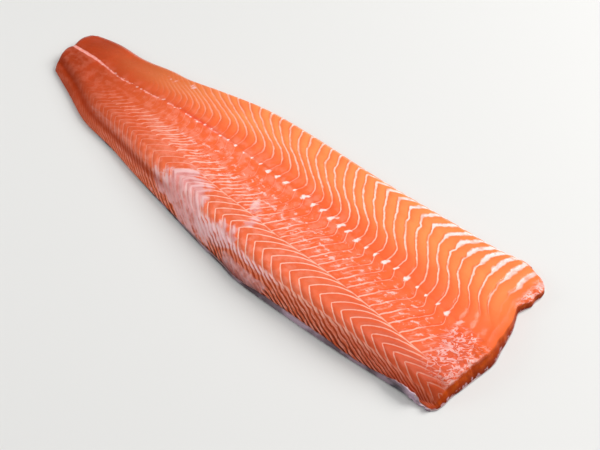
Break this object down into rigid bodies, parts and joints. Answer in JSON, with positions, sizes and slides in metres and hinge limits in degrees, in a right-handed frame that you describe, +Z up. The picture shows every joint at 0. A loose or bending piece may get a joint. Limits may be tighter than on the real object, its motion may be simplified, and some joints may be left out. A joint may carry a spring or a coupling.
{
  "type": "raw salmon fillet",
  "caption": "Whole raw side of salmon, boned and trimmed, lying skin side down: flaky orange flesh with white fat lines over a thin silvery skin.",
  "frame": {"origin": "centre of the rectangle round the fillet, at the level of the surface it lies on", "axes": "+X along the fillet from the tail to the head end, +Y across it from the back to the belly, +Z up out of the cut flesh"},
  "size_m": [0.6248, 0.211, 0.0297],
  "materials": {
    "flesh": "wet, orange with pale fat lines",
    "skin": "wet, silvery grey with fine scales"
  },
  "bodies": {
    "root": {"flesh": "flesh", "skin": "skin"}
  },
  "joints": []
}
